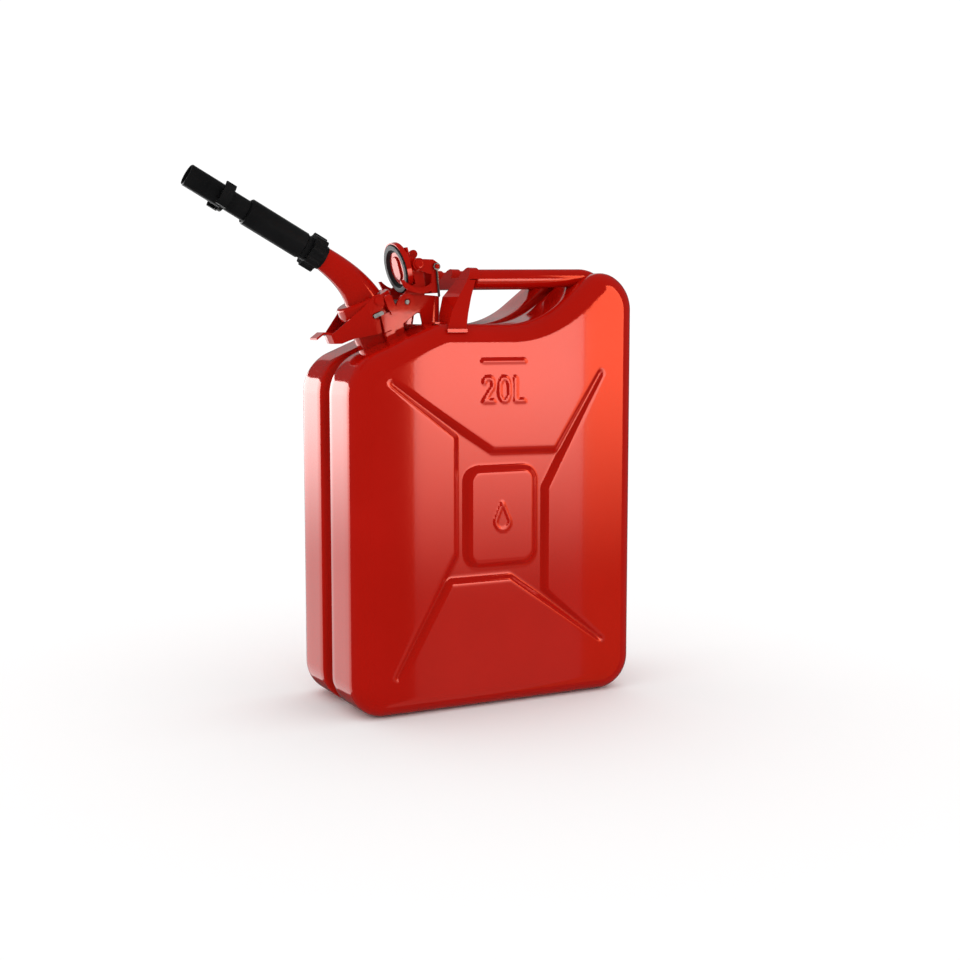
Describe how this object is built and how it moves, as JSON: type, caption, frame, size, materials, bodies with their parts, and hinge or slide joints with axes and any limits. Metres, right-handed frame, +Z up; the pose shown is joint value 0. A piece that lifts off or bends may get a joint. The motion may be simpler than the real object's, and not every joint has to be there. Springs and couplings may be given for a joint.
{
  "type": "fuel can",
  "caption": "Pressed steel 20 litre fuel can with a triple handle, a cam-lever cap swung back and a clamped-on pouring spout with a sliding nozzle.",
  "frame": {"origin": "on the ground, under the middle of the overall length and thickness, spout included", "axes": "+X along the can from the spout end to the rear, +Y across its thickness, +Z up"},
  "size_m": [0.4889, 0.164, 0.5698],
  "materials": {
    "red_paint": "gloss red powder paint on pressed steel",
    "black_plastic": "satin black moulded plastic",
    "black_rubber": "moulded fuel-resistant rubber",
    "zinc_steel": "zinc-plated steel",
    "brass": "turned brass"
  },
  "bodies": {
    "can": {"shell_left": "red_paint", "shell_right": "red_paint", "seam_weld_bead": "red_paint", "filler_neck": "red_paint", "breather_tube": "zinc_steel", "closure_bracket": "red_paint", "lug_bars": "zinc_steel", "cap_hinge_pin": "zinc_steel", "handle_bracket": "red_paint", "handle_tube_left": "red_paint", "handle_tube_center": "red_paint", "handle_tube_right": "red_paint", "spout_base": "red_paint", "spout_gasket": "black_rubber", "spout_elbow": "red_paint", "spout_lever_rivets": "red_paint", "barrel_sleeve": "black_plastic", "inner_tube": "zinc_steel", "valve_head": "brass", "valve_o_ring": "black_rubber", "return_spring": "zinc_steel", "vent_tube": "zinc_steel", "flame_screen": "zinc_steel"},
    "cap": {"cap_plate": "red_paint", "cap_gasket": "black_rubber", "gasket_retainer": "red_paint", "cap_bail": "red_paint", "cap_lever_rivets": "red_paint"},
    "cap_lever": {"cap_lever": "red_paint"},
    "safety_pin": {"safety_pin": "zinc_steel"},
    "spout_lever": {"spout_lever": "red_paint"},
    "lock_collar": {"lock_collar": "black_plastic"},
    "nozzle": {"nozzle": "black_plastic"}
  },
  "joints": [
    {"name": "cap_hinge", "type": "hinge", "parent": "can", "child": "cap", "pos_m": [-0.01238, 0, 0.43551], "axis": [0, 1, 0], "range_deg": [-35, 0]},
    {"name": "cap_lever_pivot", "type": "hinge", "parent": "cap", "child": "cap_lever", "pos_m": [0.00129, 0, 0.47531], "axis": [0, 1, 0], "range_deg": [-70, 0]},
    {"name": "safety_pin_swing", "type": "hinge", "parent": "cap_lever", "child": "safety_pin", "pos_m": [0.02079, 0, 0.47331], "axis": [0, 1, 0], "range_deg": [0, 30]},
    {"name": "spout_lever_pivot", "type": "hinge", "parent": "can", "child": "spout_lever", "pos_m": [-0.04704, 0, 0.43655], "axis": [0, 1, 0], "range_deg": [0, 50]},
    {"name": "lock_collar_turn", "type": "hinge", "parent": "can", "child": "lock_collar", "pos_m": [-0.096, 0, 0.4809], "axis": [-0.8755, 0, 0.4833], "range_deg": [0, 60]},
    {"name": "nozzle_slide", "type": "slide", "parent": "can", "child": "nozzle", "axis": [0.8755, 0, -0.4833], "range_m": [0, 0.022], "stiffness_N_per_m": 600, "springref_m": -0.01, "deforming": ["return_spring"]}
  ]
}
